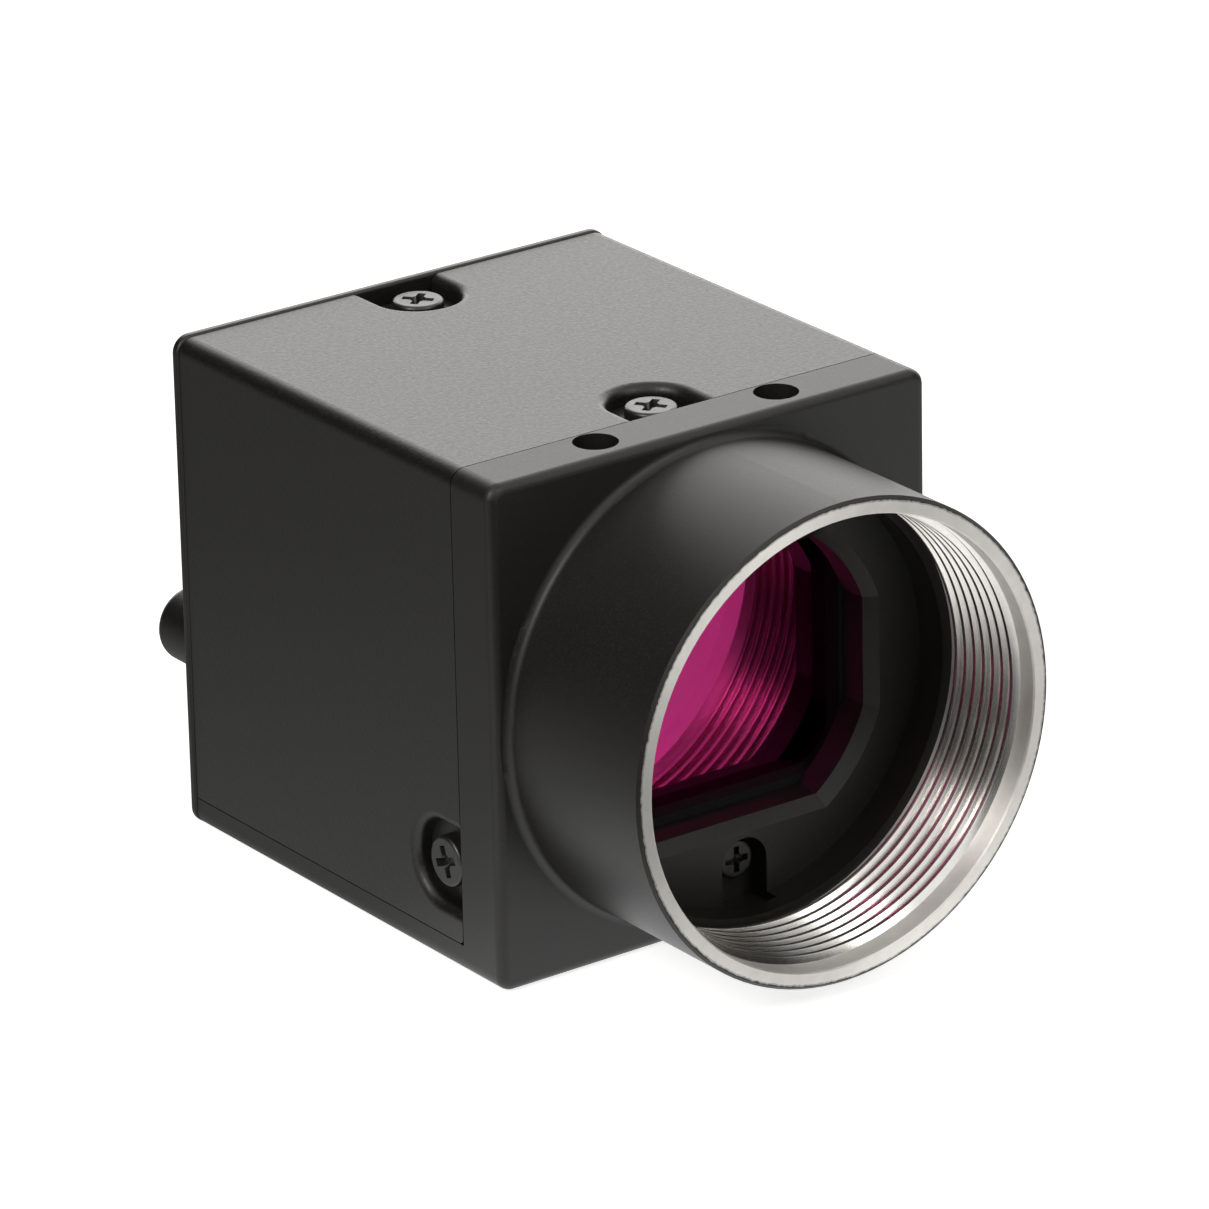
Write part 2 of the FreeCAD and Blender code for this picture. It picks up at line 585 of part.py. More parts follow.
def build_sensor_holder():
    """Black frame that carries the filter and locates the image sensor."""
    body = new_body("sensor_holder")
    pad(body, "frame", "Y", holder_front, sensor_board_front,
        (rectangle, -holder_half, holder_half, -holder_half, holder_half,
         dim("holder_round")))
    play = dim("seat_clearance") * 2
    seat_front = holder_front + dim("lip_thickness")
    pocket(body, "seat", "Y", sensor_board_front, seat_front,
           (rectangle, *centred(dim("glass_width") + play, dim("glass_height") + play)))
    pocket(body, "lip_opening", "Y", seat_front, holder_front,
           (rectangle, *centred(dim("lip_width"), dim("lip_height")), dim("lip_round")))
    reach, shank = dim("holder_screw_reach"), dim("holder_shank_diameter")
    pocket(body, "screw_holes", "Y", holder_front, holder_front + dim("holder_shank_length"),
           (circle, ZERO, reach, shank), (circle, ZERO, -reach, shank))
    pocket(body, "stud_holes", "Y", sensor_board_front,
           sensor_board_front - dim("stud_length") + dim("board_thickness"),
           *[(circle, x, z, dim("stud_diameter")) for x, z in studs()])
    return body


def build_filter():
    glass_front = holder_front + dim("lip_thickness")
    glass_rear = glass_front + dim("glass_thickness")
    pad(new_body("filter_glass"), "plate", "Y", glass_front, glass_rear,
        (rectangle, *centred(dim("glass_width"), dim("glass_height"))))
    rim = dim("gasket_width") * 2
    pad(new_body("filter_gasket"), "frame", "Y", glass_rear, dim("package_front"),
        (rectangle, *centred(dim("glass_width"), dim("glass_height"))),
        (rectangle, *centred(dim("glass_width") - rim, dim("glass_height") - rim)))


# ---------------------------------------------------------------- image sensor

def build_image_sensor():
    """Ceramic package with its die on the image plane, under a cover window."""
    front, window_rear = dim("package_front"), dim("package_front") + dim("window_thickness")
    die_rear = dim("image_plane") + dim("die_thickness")
    body = new_body("sensor_package")
    pad(body, "ceramic", "Y", front, sensor_board_front,
        (rectangle, *centred(dim("package_width"), dim("package_height"))))
    play = dim("seat_clearance")
    pocket(body, "window_seat", "Y", front, window_rear, (rectangle, *centred(
        dim("window_width") + play, dim("window_height") + play)))
    pocket(body, "die_cavity", "Y", window_rear, die_rear,
           (rectangle, *centred(dim("cavity_width"), dim("cavity_height"))))
    pad(new_body("sensor_window"), "plate", "Y", front, window_rear,
        (rectangle, *centred(dim("window_width"), dim("window_height"))))
    pad(new_body("sensor_die"), "chip", "Y", dim("image_plane"), die_rear,
        (rectangle, *centred(dim("die_width"), dim("die_height"))))


# ---------------------------------------------------------------- circuit boards

board_fronts = [sensor_board_front + dim("board_pitch") * i for i in range(3)]
board_rears = [front + dim("board_thickness") for front in board_fronts]


def build_board(label, front, rear, *holes):
    half = dim("board_size") / 2
    pad(new_body(label), "laminate", "Y", front, rear,
        (rectangle, -half, half, -half, half, dim("board_round")),
        *[(circle, x, z, dim("stud_diameter")) for x, z in studs()], *holes)


def build_block(label, width, height, front, rear, x=ZERO, z=ZERO):
    """A plain rectangular component between two positions along Y."""
    pad(new_body(label), "block", "Y", front, rear,
        (rectangle, x - width / 2, x + width / 2, z - height / 2, z + height / 2))


def build_standoffs(label, front, rear):
    """Four hexagonal spacers, each with a stud ahead and a tapped hole behind."""
    body = new_body(label)
    pad(body, "hexagons", "Y", front, rear,
        *[(hexagon, x, z, dim("standoff_flats")) for x, z in studs()])
    play = dim("thread_play") * 2
    pad(body, "studs", "Y", front, front - dim("stud_length"),
        *[(circle, x, z, dim("stud_diameter") - play) for x, z in studs()])
    pocket(body, "tapped_holes", "Y", rear, rear - dim("stud_length"),
           *[(circle, x, z, dim("stud_diameter")) for x, z in studs()])


def build_stack_screws():
    """Four screws that close the stack of boards from behind."""
    body, rear = new_body("stack_screws"), board_rears[2]
    play = dim("thread_play") * 2
    pad(body, "shanks", "Y", rear, rear - dim("stud_length"),
        *[(circle, x, z, dim("stud_diameter") - play) for x, z in studs()])
    pad(body, "heads", "Y", rear, rear + dim("stack_head_height"),
        *[(circle, x, z, dim("stack_head_diameter")) for x, z in studs()])


def build_boards():
    build_board("sensor_board", board_fronts[0], board_rears[0])
    build_board("processor_board", board_fronts[1], board_rears[1])
    build_board("interface_board", board_fronts[2], board_rears[2])
    build_standoffs("front_standoffs", board_rears[0], board_fronts[1])
    build_standoffs("rear_standoffs", board_rears[1], board_fronts[2])
    build_stack_screws()
    width, height, x = dim("link_width"), dim("link_height"), dim("link_offset")
    for name, ahead, behind in (("front", board_rears[0], board_fronts[1]),
                                ("rear", board_rears[1], board_fronts[2])):
        middle = (ahead + behind) / 2
        build_block(f"{name}_link_plug", width, height, ahead, middle, x)
        build_block(f"{name}_link_socket", width, height, middle, behind, x)
    chip, thick = dim("processor_size"), dim("chip_thickness")
    build_block("processor_chip", chip, chip, board_fronts[1] - thick, board_fronts[1],
                -dim("chip_offset"))
    build_block("memory_chip", dim("memory_width"), chip, board_rears[1],
                board_rears[1] + thick, -dim("chip_offset"))
    chip = dim("usb_chip_size")
    build_block("usb_controller_chip", chip, chip, board_fronts[2] - thick, board_fronts[2],
                -dim("chip_offset"))


# ---------------------------------------------------------------- usb receptacle

usb_mouth = rear_face - dim("usb_recess")
usb_floor = board_rears[2] + dim("usb_floor")


def usb_outline(sketch, inset):
    """The stepped outline of the two joined ports, drawn in by an inset."""
    x, half_w = dim("usb_offset"), dim("usb_width") / 2 - inset
    half_l, split, notch = dim("usb_length") / 2, dim("usb_split"), dim("usb_notch")
    outline(sketch, [
        (x - half_w, -half_l + inset), (x + half_w - notch, -half_l + inset),
        (x + half_w, -half_l + inset + notch), (x + half_w, split - inset),
        (x + half_w - notch, split), (x + half_w - notch, split + notch),
        (x + half_w, split + notch + inset), (x + half_w, half_l - inset),
        (x - half_w, half_l - inset)])


def build_usb():
    """Receptacle with its steel shell, plastic tongue and contact rows."""
    body = new_body("usb_shell")
    pad(body, "folded_shell", "Y", board_rears[2], usb_mouth, (usb_outline, ZERO))
    pocket(body, "port", "Y", usb_mouth, board_rears[2], (usb_outline, dim("usb_wall")))
    body = new_body("usb_insulator")
    inset, x = dim("usb_wall") + dim("thread_play"), dim("usb_offset")
    pad(body, "base", "Y", board_rears[2], usb_floor, (usb_outline, inset))
    tongue_end_y = usb_mouth - dim("usb_tongue_recess")
    rows = usb_rows()
    pad(body, "tongues", "Y", usb_floor, tongue_end_y,
        *[(rectangle, x - dim("usb_tongue") / 2, x + dim("usb_tongue") / 2, low, high)
          for low, high, count in rows])
    body = new_body("usb_contacts")
    face = x + dim("usb_tongue") / 2
    strips = []
    for low, high, count in rows:
        pitch = (high - low) / count
        for i in range(count):
            centre = low + pitch * (i + 0.5)
            strips.append((rectangle, face, face + dim("usb_contact"),
                           centre - pitch / 4, centre + pitch / 4))
    pad(body, "strips", "Y", usb_floor, tongue_end_y, *strips)


def usb_rows():
    """The two tongues: low end, high end and number of contacts."""
    edge, half_l, split = dim("usb_wall") * 3, dim("usb_length") / 2, dim("usb_split")
    return [(-half_l + edge, split - edge, 5), (split + dim("usb_notch") + edge, half_l - edge, 5)]


# ---------------------------------------------------------------- round receptacle

def build_gpio():
    """Round six-pin receptacle: metal shell, panel nut, insulator and pins."""
    x, z = -dim("gpio_offset"), -dim("gpio_drop")
    bore, barrel = dim("gpio_bore") / 2, dim("gpio_diameter") / 2
    neck, flange = dim("gpio_neck") / 2, dim("gpio_flange") / 2
    back, mouth = board_rears[2] + dim("gpio_stand"), rear_face + dim("gpio_length")
    flange_front = plate_front - dim("gpio_flange_depth")
    neck_end = rear_face + dim("gpio_nut_depth") + dim("seat_clearance")
    r = dim("gpio_round")
    shell = new_body("gpio_shell")
    revolve(shell, False, "turned_shell", [
        (back, bore), (back, dim("gpio_body") / 2), (flange_front, dim("gpio_body") / 2),
        (flange_front, flange), (plate_front, flange), (plate_front, neck),
        (neck_end, neck), (neck_end, barrel), (mouth - r, barrel, (mouth - r, barrel - r)),
        (mouth, barrel - r), (mouth, bore)])
    nut = new_body("gpio_nut")
    pad(nut, "hexagon", "Y", rear_face, rear_face + dim("gpio_nut_depth"),
        (hexagon, ZERO, ZERO, dim("gpio_nut_size")),
        (circle, ZERO, ZERO, dim("gpio_neck") + dim("thread_play") * 2))
    spots = [(dim("gpio_pin_circle") / 2 * math.cos(math.radians(60 * i)),
              dim("gpio_pin_circle") / 2 * math.sin(math.radians(60 * i))) for i in range(6)]
    pin, play = dim("gpio_pin_diameter"), dim("thread_play") * 2
    insert_rear = mouth - dim("gpio_bore_depth")
    insert = new_body("gpio_insert")
    pad(insert, "disc", "Y", back, insert_rear,
        (circle, ZERO, ZERO, dim("gpio_bore") - play),
        *[(circle, across, up, pin + play) for across, up in spots])
    pins = new_body("gpio_pins")
    pad(pins, "pins", "Y", board_rears[2], insert_rear + dim("gpio_pin_reach"),
        *[(circle, across, up, pin) for across, up in spots])
    for body in (shell, nut, insert, pins):
        body.setExpression("Placement.Base.x", x.text)
        body.setExpression("Placement.Base.z", z.text)


# ---------------------------------------------------------------- status light

def build_status_light():
    x, z, led = dim("light_x"), dim("light_z"), dim("led_size")
    led_rear = board_rears[2] + dim("led_height")
    build_block("status_led", led, led, board_rears[2], led_rear, x, z)
    pad(new_body("light_pipe"), "rod", "Y", led_rear + dim("seat_clearance"), rear_face,
        (circle, x, z, dim("light_diameter")))


# ---------------------------------------------------------------- build and write

build_chassis()
build_cover()
build_rear_plate()
build_screws()
build_sensor_holder()
build_filter()
build_image_sensor()
build_boards()
build_usb()
build_gpio()
build_status_light()
doc.recompute()

for item in doc.Objects:
    if "Invalid" in item.State or "Error" in item.State:
        raise RuntimeError(f"{item.Label} failed: {item.State}")

os.makedirs("parts", exist_ok=True)
for body in [item for item in doc.Objects if item.TypeId == "PartDesign::Body"]:
    if body.Shape.isNull() or not body.Shape.isValid():
        raise RuntimeError(f"{body.Label} has no valid shape")
    body.Shape.exportStep(os.path.join("parts", f"{body.Label}.step"))
    print(f"{body.Label}: {len(body.Shape.Solids)} solid(s), {body.Shape.Volume:.2f} mm3")
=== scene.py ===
import json
import math

import bpy
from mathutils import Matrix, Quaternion, Vector


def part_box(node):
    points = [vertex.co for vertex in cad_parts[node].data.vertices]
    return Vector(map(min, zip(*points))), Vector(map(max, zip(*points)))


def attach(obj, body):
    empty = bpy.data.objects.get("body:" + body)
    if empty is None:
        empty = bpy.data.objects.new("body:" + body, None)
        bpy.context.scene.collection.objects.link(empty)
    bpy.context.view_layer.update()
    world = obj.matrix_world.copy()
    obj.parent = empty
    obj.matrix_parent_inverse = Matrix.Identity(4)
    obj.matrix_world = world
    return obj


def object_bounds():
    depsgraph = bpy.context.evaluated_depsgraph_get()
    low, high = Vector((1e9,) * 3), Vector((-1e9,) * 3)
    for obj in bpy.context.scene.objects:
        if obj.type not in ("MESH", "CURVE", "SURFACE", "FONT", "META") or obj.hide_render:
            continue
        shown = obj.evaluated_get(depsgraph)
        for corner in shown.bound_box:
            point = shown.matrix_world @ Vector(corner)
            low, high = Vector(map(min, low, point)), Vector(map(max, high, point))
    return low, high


# A compact C-mount machine vision camera. The frame is in metres: the lens side faces -Y,
# +X is to the right as seen from there, +Z is up, and the origin is the centre of the
# barrel's front rim. Shapes and sizes come from the frame, and what this script adds is
# the finish of each piece, the lens thread and the studio.

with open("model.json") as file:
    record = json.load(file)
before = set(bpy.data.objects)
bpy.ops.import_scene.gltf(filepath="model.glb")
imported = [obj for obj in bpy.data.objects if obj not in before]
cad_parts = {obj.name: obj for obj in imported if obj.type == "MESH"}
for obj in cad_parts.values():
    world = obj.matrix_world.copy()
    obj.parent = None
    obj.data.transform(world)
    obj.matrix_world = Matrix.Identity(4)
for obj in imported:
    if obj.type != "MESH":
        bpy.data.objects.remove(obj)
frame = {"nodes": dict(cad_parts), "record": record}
cad_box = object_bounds()
record = frame["record"]


# ---------------------------------------------------------------- front housing
# Front block, lens barrel and bottom plate are machined from one bar of aluminium, blasted
# with glass beads and anodised black. The barrel's rim and bore are turned after that, so
# they are bare metal, and the black ends in a slightly ragged line on the rim.

MM = 0.001  # metres in a millimetre: what is multiplied by it is in millimetres
BLACK_EDGE_RADIUS = 13.45
BLACK_EDGE_WANDER = 0.22
BLACK_EDGE_GRAIN = 0.35
# A grey band of painted shade on the bare rim, just inside the black edge:
SHADE_BAND_FROM = 0.10
SHADE_BAND_TO = 0.06
SHADE_BAND_DEPTH = 0.6
BARE_WALL_ROOM = 0.4
BARE_END_ROOM = 0.02
DYE_CLOUD = 6.0
DENT_SHARE = 0.6
SPECK_FROM = 0.56
SPECK_TO = 0.74
BLOCK_CRATER = 0.12
TOOL_RING = 0.06
TOOL_RING_GLOSS = 0.05
STAIN = 0.9
lens_mount = [m for m in record["mounts"] if m["name"] == "lens_thread"][0]
bore_radius = lens_mount["dims"]["r_mm"]
bore_end = lens_mount["pos_m"][1] / MM + lens_mount["dims"]["length_mm"]


def linear(code):
    """The linear colour of a hex code such as "9d9b97"."""
    parts = [int(code[i:i + 2], 16) / 255 for i in (0, 2, 4)]
    light = [c / 12.92 if c <= 0.04045 else ((c + 0.055) / 1.055) ** 2.4 for c in parts]
    return (*light, 1.0)


def add_node(tree, kind, inputs, **settings):
    """Adds a shader node and returns its outputs. An input is a value or another output."""
    made = tree.nodes.new("ShaderNode" + kind)
    for name, value in settings.items():
        setattr(made, name, value)
    for key, value in inputs.items():
        if isinstance(value, bpy.types.NodeSocket):
            tree.links.new(value, made.inputs[key])
        else:
            made.inputs[key].default_value = value
    return made.outputs


def new_material(name):
    """An empty material, its node tree and the output of its Object coordinates."""
    material = bpy.data.materials.new(name)
    material.use_nodes = True
    tree = material.node_tree
    tree.nodes.clear()
    return material, tree, add_node(tree, "TexCoord", {})["Object"]


def close_material(tree, shader):
    add_node(tree, "OutputMaterial", {"Surface": shader})


def finish_nodes(material, *names):
    """Gives CAD nodes their finish."""
    for name in names:
        for slot in frame["nodes"][name].material_slots:
            slot.material = material


def anodised(tree, place, crater, relief, rough, patchy):
    """Bead-blasted, black anodised aluminium. The dyed oxide is near black seen face on
    and turns pale where light comes in low. The craters of the beads, really a few
    hundredths of a millimetre across and drawn here in tenths so that they show, give it
    grain, and the dye has faint clouds and pale specks."""
    per_metre = 1 / (crater * MM)
    dents = add_node(tree, "TexVoronoi", {"Vector": place, "Scale": per_metre})["Distance"]
    grit = add_node(tree, "TexNoise", {"Vector": place, "Scale": per_metre, "Detail": 3.0,
                                       "Roughness": 0.65})[0]
    height = add_node(tree, "Math", {0: dents, 1: DENT_SHARE, 2: grit},
                      operation="MULTIPLY_ADD")[0]
    slope = add_node(tree, "Bump", {"Height": height, "Distance": relief * MM})[0]
    cloud = add_node(tree, "TexNoise", {"Vector": place, "Scale": 1 / (DYE_CLOUD * MM),
                                        "Detail": 3.0})[0]
    tone = add_node(tree, "Mix", {0: cloud, 6: linear("161412"), 7: linear("1b1917")},
                    data_type="RGBA")[2]
    speck = add_node(tree, "MapRange", {"Value": grit, "From Min": SPECK_FROM,
                                         "From Max": SPECK_TO})[0]
    tone = add_node(tree, "Mix", {0: speck, 6: tone, 7: linear("2c2a28")},
                    data_type="RGBA")[2]
    gloss = add_node(tree, "MapRange", {"Value": grit, "From Min": 0.3, "From Max": 0.7,
                                        "To Min": rough - patchy, "To Max": rough + patchy})[0]
    return add_node(tree, "BsdfPrincipled", {"Base Color": tone, "Roughness": gloss,
                                             "IOR": 1.5, "Normal": slope})[0]


def turned_aluminium(tree, place, along, painted_shade, rough, relief):
    """Bare turned aluminium: bright, with fine rings left by the tool, which change with along
    and stretch a highlight across them into a streak. It is faintly stained. Where the given
    shade mask nears 1, its colour turns grey, a painted shade."""
    radial = add_node(tree, "VectorMath", {0: place, 1: (1.0, 0.0, 1.0)},
                      operation="MULTIPLY")[0]
    along_rings = add_node(tree, "VectorMath", {0: radial, 1: (0.0, 1.0, 0.0)},
                           operation="CROSS_PRODUCT")[0]
    along_rings = add_node(tree, "VectorTransform", {0: along_rings}, convert_from="OBJECT",
                           convert_to="WORLD")[0]
    radius = add_node(tree, "VectorMath", {0: radial}, operation="LENGTH")["Value"]
    section = add_node(tree, "CombineXYZ", {0: radius, 1: along})[0]
    rings = add_node(tree, "TexNoise", {"Vector": section, "Scale": 1 / (TOOL_RING * MM),
                                        "Detail": 2.0})[0]
    stains = add_node(tree, "TexNoise", {"Vector": place, "Scale": 1 / (STAIN * MM),
                                         "Detail": 4.0, "Roughness": 0.6})[0]
    tone = add_node(tree, "Mix", {0: stains, 6: linear("f3f1ec"), 7: linear("dbd8d2")},
                    data_type="RGBA")[2]
    # Painted shade: the colour is mixed towards grey by the shade mask.
    tone = add_node(tree, "Mix", {0: painted_shade, 6: tone, 7: linear("8f8c87")},
                    data_type="RGBA")[2]
    slope = add_node(tree, "Bump", {"Height": rings, "Distance": relief * MM})[0]
    gloss = add_node(tree, "MapRange", {"Value": rings, "To Min": rough - TOOL_RING_GLOSS,
                                        "To Max": rough + TOOL_RING_GLOSS})[0]
    return add_node(tree, "BsdfPrincipled", {
        "Base Color": tone, "Metallic": 1.0, "Roughness": gloss, "Normal": slope,
        "Anisotropic": 0.8, "Anisotropic Rotation": 0.25, "Tangent": along_rings})[0]


def finish_front_housing():
    """Black outside and deep in the throat, bare on the rim and the threaded wall. Just inside
    the ragged line, a grey band is painted into the bare metal: painted shade for the rim's
    outer band, which catches less light."""
    material, tree, place = new_material("black_anodised_and_turned_aluminium")
    radial = add_node(tree, "VectorMath", {0: place, 1: (1.0, 0.0, 1.0)},
                      operation="MULTIPLY")[0]
    radius = add_node(tree, "VectorMath", {0: radial}, operation="LENGTH")["Value"]
    along = add_node(tree, "SeparateXYZ", {0: place})[1]
    ragged = add_node(tree, "TexNoise", {"Vector": place, "Detail": 4.0,
                                         "Scale": 1 / (BLACK_EDGE_GRAIN * MM)})[0]
    edge = add_node(tree, "Math", {0: ragged, 1: BLACK_EDGE_WANDER * MM, 2: radius},
                    operation="MULTIPLY_ADD")[0]
    black_from = (BLACK_EDGE_RADIUS + BLACK_EDGE_WANDER / 2) * MM
    on_rim = add_node(tree, "Math", {0: edge, 1: black_from}, operation="LESS_THAN")[0]
    in_bore = add_node(tree, "Math", {0: radius, 1: (bore_radius - BARE_WALL_ROOM) * MM},
                       operation="GREATER_THAN")[0]
    ahead = add_node(tree, "Math", {0: along, 1: (bore_end - BARE_END_ROOM) * MM},
                     operation="LESS_THAN")[0]
    bare = add_node(tree, "Math", {0: on_rim, 1: in_bore}, operation="MULTIPLY")[0]
    bare = add_node(tree, "Math", {0: bare, 1: ahead}, operation="MULTIPLY")[0]
    # Painted shade: a grey band in the bare metal just inside the black edge.
    painted_shade_band = add_node(tree, "MapRange", {"Value": edge, "To Max": SHADE_BAND_DEPTH,
                                            "From Min": black_from - SHADE_BAND_FROM * MM,
                                            "From Max": black_from - SHADE_BAND_TO * MM})[0]
    black = anodised(tree, place, BLOCK_CRATER, relief=0.004, rough=0.475, patchy=0.04)
    metal = turned_aluminium(tree, place, along, painted_shade=painted_shade_band, rough=0.56, relief=0.003)
    close_material(tree, add_node(tree, "MixShader", {0: bare, 1: black, 2: metal})[0])
    finish_nodes(material, "chassis")


finish_front_housing()


# ---------------------------------------------------------------- lens thread
# The barrel's bore carries a right-hand thread of 32 turns to the inch, cut in the bare
# aluminium. It is added here as one helical ridge that stands on the bore's wall and
# fades in behind the rim and out at the thread's end.

PITCH = 25.4 / 32
RIDGE_HEIGHT = 0.38
RIDGE_FOOT = 0.70
RIDGE_CREST = 0.26
CREST_ROUND = 0.03
SUNK = 0.012
START_ANGLE = 60
START_DEPTH = 1.375
END_ROOM = 0.518
STEPS_A_TURN = 192
FADE_STEPS = 27
FADE_LEAST = 0.03
PASSES = 7  # the helix is made of as many equal stretches, one after the other
SMOOTH_ANGLE = 25


def select_points(piece, test):
    """Leaves the piece in edit mode with only the points selected that pass a test."""
    bpy.ops.object.mode_set(mode="EDIT")
    bpy.context.tool_settings.mesh_select_mode = (True, False, False)
    bpy.ops.mesh.select_all(action="DESELECT")
    bpy.ops.object.mode_set(mode="OBJECT")
    for point in piece.data.vertices:
        point.select = test(point)
    bpy.ops.object.mode_set(mode="EDIT")


def add_lens_thread():
    """A square in the plane of the axis is drawn out to the ridge's section, turned into a
    helix, shrunk towards the wall at both ends and closed there."""
    bpy.ops.object.select_all(action="DESELECT")
    foot = bore_radius + SUNK
    middle = ((foot - RIDGE_HEIGHT / 2) * MM, START_DEPTH * MM, 0)
    bpy.ops.mesh.primitive_plane_add(size=RIDGE_FOOT * MM, location=middle)
    ridge = bpy.context.object
    ridge.name = ridge.data.name = "lens_thread_ridge"
    bpy.ops.object.transform_apply(location=True)
    select_points(ridge, lambda point: True)
    bpy.ops.transform.resize(value=(RIDGE_HEIGHT / RIDGE_FOOT, 1, 1), center_override=middle)
    select_points(ridge, lambda point: point.co.x < middle[0])
    bpy.ops.transform.resize(value=(1, RIDGE_CREST / RIDGE_FOOT, 1), center_override=middle)
    bpy.ops.mesh.bevel(offset=CREST_ROUND * MM, segments=2, affect="VERTICES")
    bpy.ops.mesh.select_all(action="SELECT")
    bpy.ops.mesh.delete(type="ONLY_FACE")
    bpy.ops.object.mode_set(mode="OBJECT")
    corners = len(ridge.data.vertices)

    turns = (bore_end - START_DEPTH - END_ROOM) / PITCH
    helix = ridge.modifiers.new("helix", "SCREW")
    helix.axis = "Y"
    helix.iterations = PASSES
    helix.angle = 2 * math.pi * turns / PASSES
    helix.screw_offset = PITCH * turns / PASSES * MM
    helix.steps = helix.render_steps = round(STEPS_A_TURN * turns / PASSES)
    bpy.ops.object.modifier_apply(modifier=helix.name)
    rings = len(ridge.data.vertices) // corners

    for i in range(FADE_STEPS):
        size = max(FADE_LEAST, math.sin(math.pi / 2 * i / FADE_STEPS))
        for ring in (i, rings - 1 - i):
            angle = -2 * math.pi * turns * ring / (rings - 1)
            depth = START_DEPTH + PITCH * turns * ring / (rings - 1)
            wall = (foot * math.cos(angle) * MM, depth * MM, foot * math.sin(angle) * MM)
            select_points(ridge, lambda point: point.index // corners == ring)
            bpy.ops.transform.resize(value=(size, size, size), center_override=wall)
    for ring in (0, rings - 1):
        select_points(ridge, lambda point: point.index // corners == ring)
        bpy.ops.mesh.edge_face_add()
    bpy.ops.mesh.select_all(action="SELECT")
    bpy.ops.mesh.normals_make_consistent(inside=False)
    bpy.ops.object.mode_set(mode="OBJECT")
    ridge.rotation_euler.y = math.radians(-START_ANGLE)
    bpy.ops.object.transform_apply(rotation=True)
    bpy.ops.object.shade_smooth_by_angle(angle=math.radians(SMOOTH_ANGLE))

    material, tree, place = new_material("turned_aluminium")
    across, along, up = add_node(tree, "SeparateXYZ", {0: place})
    angle = add_node(tree, "Math", {0: up, 1: across}, operation="ARCTAN2")[0]
    along_helix = add_node(tree, "Math", {0: angle, 1: PITCH * MM / math.tau, 2: along},
                           operation="MULTIPLY_ADD")[0]
    close_material(tree, turned_aluminium(tree, place, along_helix, painted_shade=0.0, rough=0.26,
                                          relief=0.0003))
    ridge.data.materials.append(material)
    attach(ridge, "root")


add_lens_thread()


# ---------------------------------------------------------------- sensor holder
# A black moulded frame, held from the front by two small screws in the throat. It locates
# the filter and the image sensor behind the aperture.

MOULD_CLOUD = 3.0
MOULD_RELIEF = 0.004
MOULD_SHINY, MOULD_DULL = 0.9, 1.1
PLATED_BLOTCH = 0.5
PLATED_MARK = 0.08
PLATED_RELIEF = 0.002
PLATED_SHINY, PLATED_DULL = 0.8, 1.25


def moulded(name, dark, pale, grain, rough, index=1.5):
    """Moulded plastic, rubber or ceramic: dull, with the faint texture of its mould."""
    material, tree, place = new_material(name)
    cloud = add_node(tree, "TexNoise", {"Vector": place, "Scale": 1 / (MOULD_CLOUD * MM),
                                        "Detail": 3.0})[0]
    tone = add_node(tree, "Mix", {0: cloud, 6: linear(dark), 7: linear(pale)},
                    data_type="RGBA")[2]
    skin = add_node(tree, "TexNoise", {"Vector": place, "Scale": 1 / (grain * MM),
                                       "Detail": 3.0})[0]
    slope = add_node(tree, "Bump", {"Height": skin, "Distance": MOULD_RELIEF * MM})[0]
    gloss = add_node(tree, "MapRange", {"Value": cloud, "To Min": rough * MOULD_SHINY,
                                        "To Max": rough * MOULD_DULL})[0]
    close_material(tree, add_node(tree, "BsdfPrincipled", {
        "Base Color": tone, "Roughness": gloss, "IOR": index, "Normal": slope})[0])
    return material


def plated(name, pale, dark, rough, metallic, index):
    """Small metal parts: the finish is even, with faint blotches and handling marks."""
    material, tree, place = new_material(name)
    blotch = add_node(tree, "TexNoise", {"Vector": place, "Scale": 1 / (PLATED_BLOTCH * MM),
                                         "Detail": 4.0})[0]
    tone = add_node(tree, "Mix", {0: blotch, 6: linear(pale), 7: linear(dark)},
                    data_type="RGBA")[2]
    marks = add_node(tree, "TexNoise", {"Vector": place, "Scale": 1 / (PLATED_MARK * MM),
                                        "Detail": 3.0})[0]
    slope = add_node(tree, "Bump", {"Height": marks, "Distance": PLATED_RELIEF * MM})[0]
    gloss = add_node(tree, "MapRange", {"Value": blotch, "To Min": rough * PLATED_SHINY,
                                        "To Max": rough * PLATED_DULL})[0]
    close_material(tree, add_node(tree, "BsdfPrincipled", {
        "Base Color": tone, "Metallic": metallic, "Roughness": gloss, "IOR": index,
        "Normal": slope})[0])
    return material


holder_nylon = moulded("holder_nylon", dark="0a090a", pale="0f0e0f", grain=0.15, rough=0.75,
                       index=1.38)
black_zinc_steel = plated("black_zinc_steel", pale="161616", dark="0e0e0e", rough=0.36,
                          metallic=0.0, index=1.6)
finish_nodes(holder_nylon, "sensor_holder")
finish_nodes(black_zinc_steel, "holder_screw_bottom", "holder_screw_top")


# ---------------------------------------------------------------- filter
# A glass plate with an interference coating that keeps infrared out. It mirrors magenta
# and lets the rest through to the dark, and a second coat, against reflections, takes the
# white gleam off the glass. A foam gasket presses it to the holder's lip.

COAT_SHARE = 0.5
COAT_HAZE = 4.0
COATED_GLASS_INDEX = 1.3


